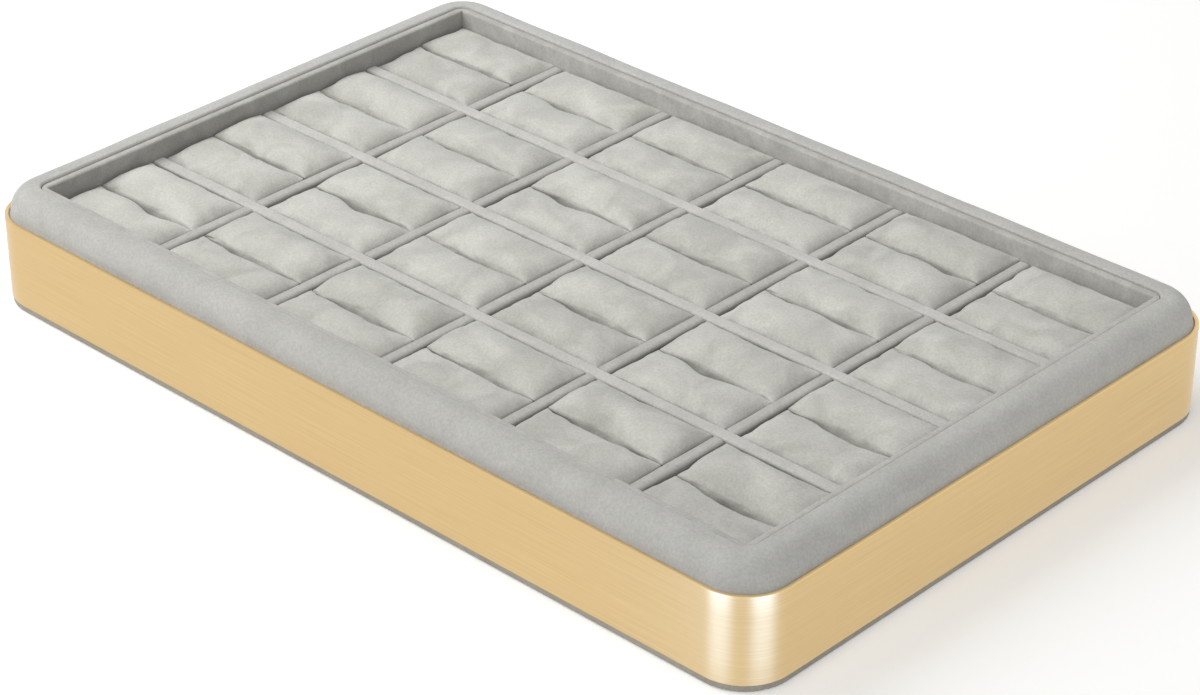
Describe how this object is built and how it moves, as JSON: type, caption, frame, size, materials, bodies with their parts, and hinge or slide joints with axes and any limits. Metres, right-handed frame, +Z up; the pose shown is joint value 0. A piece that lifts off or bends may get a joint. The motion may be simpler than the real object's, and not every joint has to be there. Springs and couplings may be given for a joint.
{
  "type": "jewelry tray",
  "caption": "Low rectangular ring tray with a brushed gold band, a padded microfibre rim and a lift-out insert of paired ring cushions in a grid of cells.",
  "frame": {"origin": "middle of the underside, on the surface that the tray stands on", "axes": "+X along the tray's long side, +Y to its back, +Z up"},
  "size_m": [0.35, 0.23, 0.0428],
  "materials": {
    "gold": "brushed along its length and gold anodised",
    "microfibre": "short even nap, matte",
    "pad_microfibre": "short brushed nap with soft marks, matte",
    "foam": "open-cell foam",
    "wood": "sawn fibreboard",
    "board": "wrapped hardboard"
  },
  "bodies": {
    "tray": {"base_cover": "microfibre", "base_board": "board", "gold_band": "gold", "rail_front": "wood", "rail_right": "wood", "rail_back": "wood", "rail_left": "wood", "rim_padding_front": "foam", "rim_padding_right": "foam", "rim_padding_back": "foam", "rim_padding_left": "foam", "rim_cover": "microfibre"},
    "insert": {"insert_floor": "board", "liner_front": "microfibre", "liner_right": "microfibre", "liner_back": "microfibre", "liner_left": "microfibre", "long_divider_1": "microfibre", "long_divider_2": "microfibre", "long_divider_3": "microfibre", "cross_divider_1": "microfibre", "cross_divider_2": "microfibre", "cross_divider_3": "microfibre", "cross_divider_4": "microfibre", "cross_divider_5": "microfibre"},
    "ring_pad_r1_c1": {"ring_pad_r1_c1": "pad_microfibre"},
    "ring_pad_r1_c2": {"ring_pad_r1_c2": "pad_microfibre"},
    "ring_pad_r1_c3": {"ring_pad_r1_c3": "pad_microfibre"},
    "ring_pad_r1_c4": {"ring_pad_r1_c4": "pad_microfibre"},
    "ring_pad_r1_c5": {"ring_pad_r1_c5": "pad_microfibre"},
    "ring_pad_r1_c6": {"ring_pad_r1_c6": "pad_microfibre"},
    "ring_pad_r2_c1": {"ring_pad_r2_c1": "pad_microfibre"},
    "ring_pad_r2_c2": {"ring_pad_r2_c2": "pad_microfibre"},
    "ring_pad_r2_c3": {"ring_pad_r2_c3": "pad_microfibre"},
    "ring_pad_r2_c4": {"ring_pad_r2_c4": "pad_microfibre"},
    "ring_pad_r2_c5": {"ring_pad_r2_c5": "pad_microfibre"},
    "ring_pad_r2_c6": {"ring_pad_r2_c6": "pad_microfibre"},
    "ring_pad_r3_c1": {"ring_pad_r3_c1": "pad_microfibre"},
    "ring_pad_r3_c2": {"ring_pad_r3_c2": "pad_microfibre"},
    "ring_pad_r3_c3": {"ring_pad_r3_c3": "pad_microfibre"},
    "ring_pad_r3_c4": {"ring_pad_r3_c4": "pad_microfibre"},
    "ring_pad_r3_c5": {"ring_pad_r3_c5": "pad_microfibre"},
    "ring_pad_r3_c6": {"ring_pad_r3_c6": "pad_microfibre"},
    "ring_pad_r4_c1": {"ring_pad_r4_c1": "pad_microfibre"},
    "ring_pad_r4_c2": {"ring_pad_r4_c2": "pad_microfibre"},
    "ring_pad_r4_c3": {"ring_pad_r4_c3": "pad_microfibre"},
    "ring_pad_r4_c4": {"ring_pad_r4_c4": "pad_microfibre"},
    "ring_pad_r4_c5": {"ring_pad_r4_c5": "pad_microfibre"},
    "ring_pad_r4_c6": {"ring_pad_r4_c6": "pad_microfibre"}
  },
  "joints": [
    {"name": "insert_lift", "type": "slide", "parent": "tray", "child": "insert", "axis": [0, 0, 1], "range_m": [0, 0.04]},
    {"name": "ring_pad_r1_c1_lift", "type": "slide", "parent": "insert", "child": "ring_pad_r1_c1", "axis": [0, 0, 1], "range_m": [0, 0.034]},
    {"name": "ring_pad_r1_c2_lift", "type": "slide", "parent": "insert", "child": "ring_pad_r1_c2", "axis": [0, 0, 1], "range_m": [0, 0.034]},
    {"name": "ring_pad_r1_c3_lift", "type": "slide", "parent": "insert", "child": "ring_pad_r1_c3", "axis": [0, 0, 1], "range_m": [0, 0.034]},
    {"name": "ring_pad_r1_c4_lift", "type": "slide", "parent": "insert", "child": "ring_pad_r1_c4", "axis": [0, 0, 1], "range_m": [0, 0.034]},
    {"name": "ring_pad_r1_c5_lift", "type": "slide", "parent": "insert", "child": "ring_pad_r1_c5", "axis": [0, 0, 1], "range_m": [0, 0.034]},
    {"name": "ring_pad_r1_c6_lift", "type": "slide", "parent": "insert", "child": "ring_pad_r1_c6", "axis": [0, 0, 1], "range_m": [0, 0.034]},
    {"name": "ring_pad_r2_c1_lift", "type": "slide", "parent": "insert", "child": "ring_pad_r2_c1", "axis": [0, 0, 1], "range_m": [0, 0.034]},
    {"name": "ring_pad_r2_c2_lift", "type": "slide", "parent": "insert", "child": "ring_pad_r2_c2", "axis": [0, 0, 1], "range_m": [0, 0.034]},
    {"name": "ring_pad_r2_c3_lift", "type": "slide", "parent": "insert", "child": "ring_pad_r2_c3", "axis": [0, 0, 1], "range_m": [0, 0.034]},
    {"name": "ring_pad_r2_c4_lift", "type": "slide", "parent": "insert", "child": "ring_pad_r2_c4", "axis": [0, 0, 1], "range_m": [0, 0.034]},
    {"name": "ring_pad_r2_c5_lift", "type": "slide", "parent": "insert", "child": "ring_pad_r2_c5", "axis": [0, 0, 1], "range_m": [0, 0.034]},
    {"name": "ring_pad_r2_c6_lift", "type": "slide", "parent": "insert", "child": "ring_pad_r2_c6", "axis": [0, 0, 1], "range_m": [0, 0.034]},
    {"name": "ring_pad_r3_c1_lift", "type": "slide", "parent": "insert", "child": "ring_pad_r3_c1", "axis": [0, 0, 1], "range_m": [0, 0.034]},
    {"name": "ring_pad_r3_c2_lift", "type": "slide", "parent": "insert", "child": "ring_pad_r3_c2", "axis": [0, 0, 1], "range_m": [0, 0.034]},
    {"name": "ring_pad_r3_c3_lift", "type": "slide", "parent": "insert", "child": "ring_pad_r3_c3", "axis": [0, 0, 1], "range_m": [0, 0.034]},
    {"name": "ring_pad_r3_c4_lift", "type": "slide", "parent": "insert", "child": "ring_pad_r3_c4", "axis": [0, 0, 1], "range_m": [0, 0.034]},
    {"name": "ring_pad_r3_c5_lift", "type": "slide", "parent": "insert", "child": "ring_pad_r3_c5", "axis": [0, 0, 1], "range_m": [0, 0.034]},
    {"name": "ring_pad_r3_c6_lift", "type": "slide", "parent": "insert", "child": "ring_pad_r3_c6", "axis": [0, 0, 1], "range_m": [0, 0.034]},
    {"name": "ring_pad_r4_c1_lift", "type": "slide", "parent": "insert", "child": "ring_pad_r4_c1", "axis": [0, 0, 1], "range_m": [0, 0.034]},
    {"name": "ring_pad_r4_c2_lift", "type": "slide", "parent": "insert", "child": "ring_pad_r4_c2", "axis": [0, 0, 1], "range_m": [0, 0.034]},
    {"name": "ring_pad_r4_c3_lift", "type": "slide", "parent": "insert", "child": "ring_pad_r4_c3", "axis": [0, 0, 1], "range_m": [0, 0.034]},
    {"name": "ring_pad_r4_c4_lift", "type": "slide", "parent": "insert", "child": "ring_pad_r4_c4", "axis": [0, 0, 1], "range_m": [0, 0.034]},
    {"name": "ring_pad_r4_c5_lift", "type": "slide", "parent": "insert", "child": "ring_pad_r4_c5", "axis": [0, 0, 1], "range_m": [0, 0.034]},
    {"name": "ring_pad_r4_c6_lift", "type": "slide", "parent": "insert", "child": "ring_pad_r4_c6", "axis": [0, 0, 1], "range_m": [0, 0.034]}
  ]
}
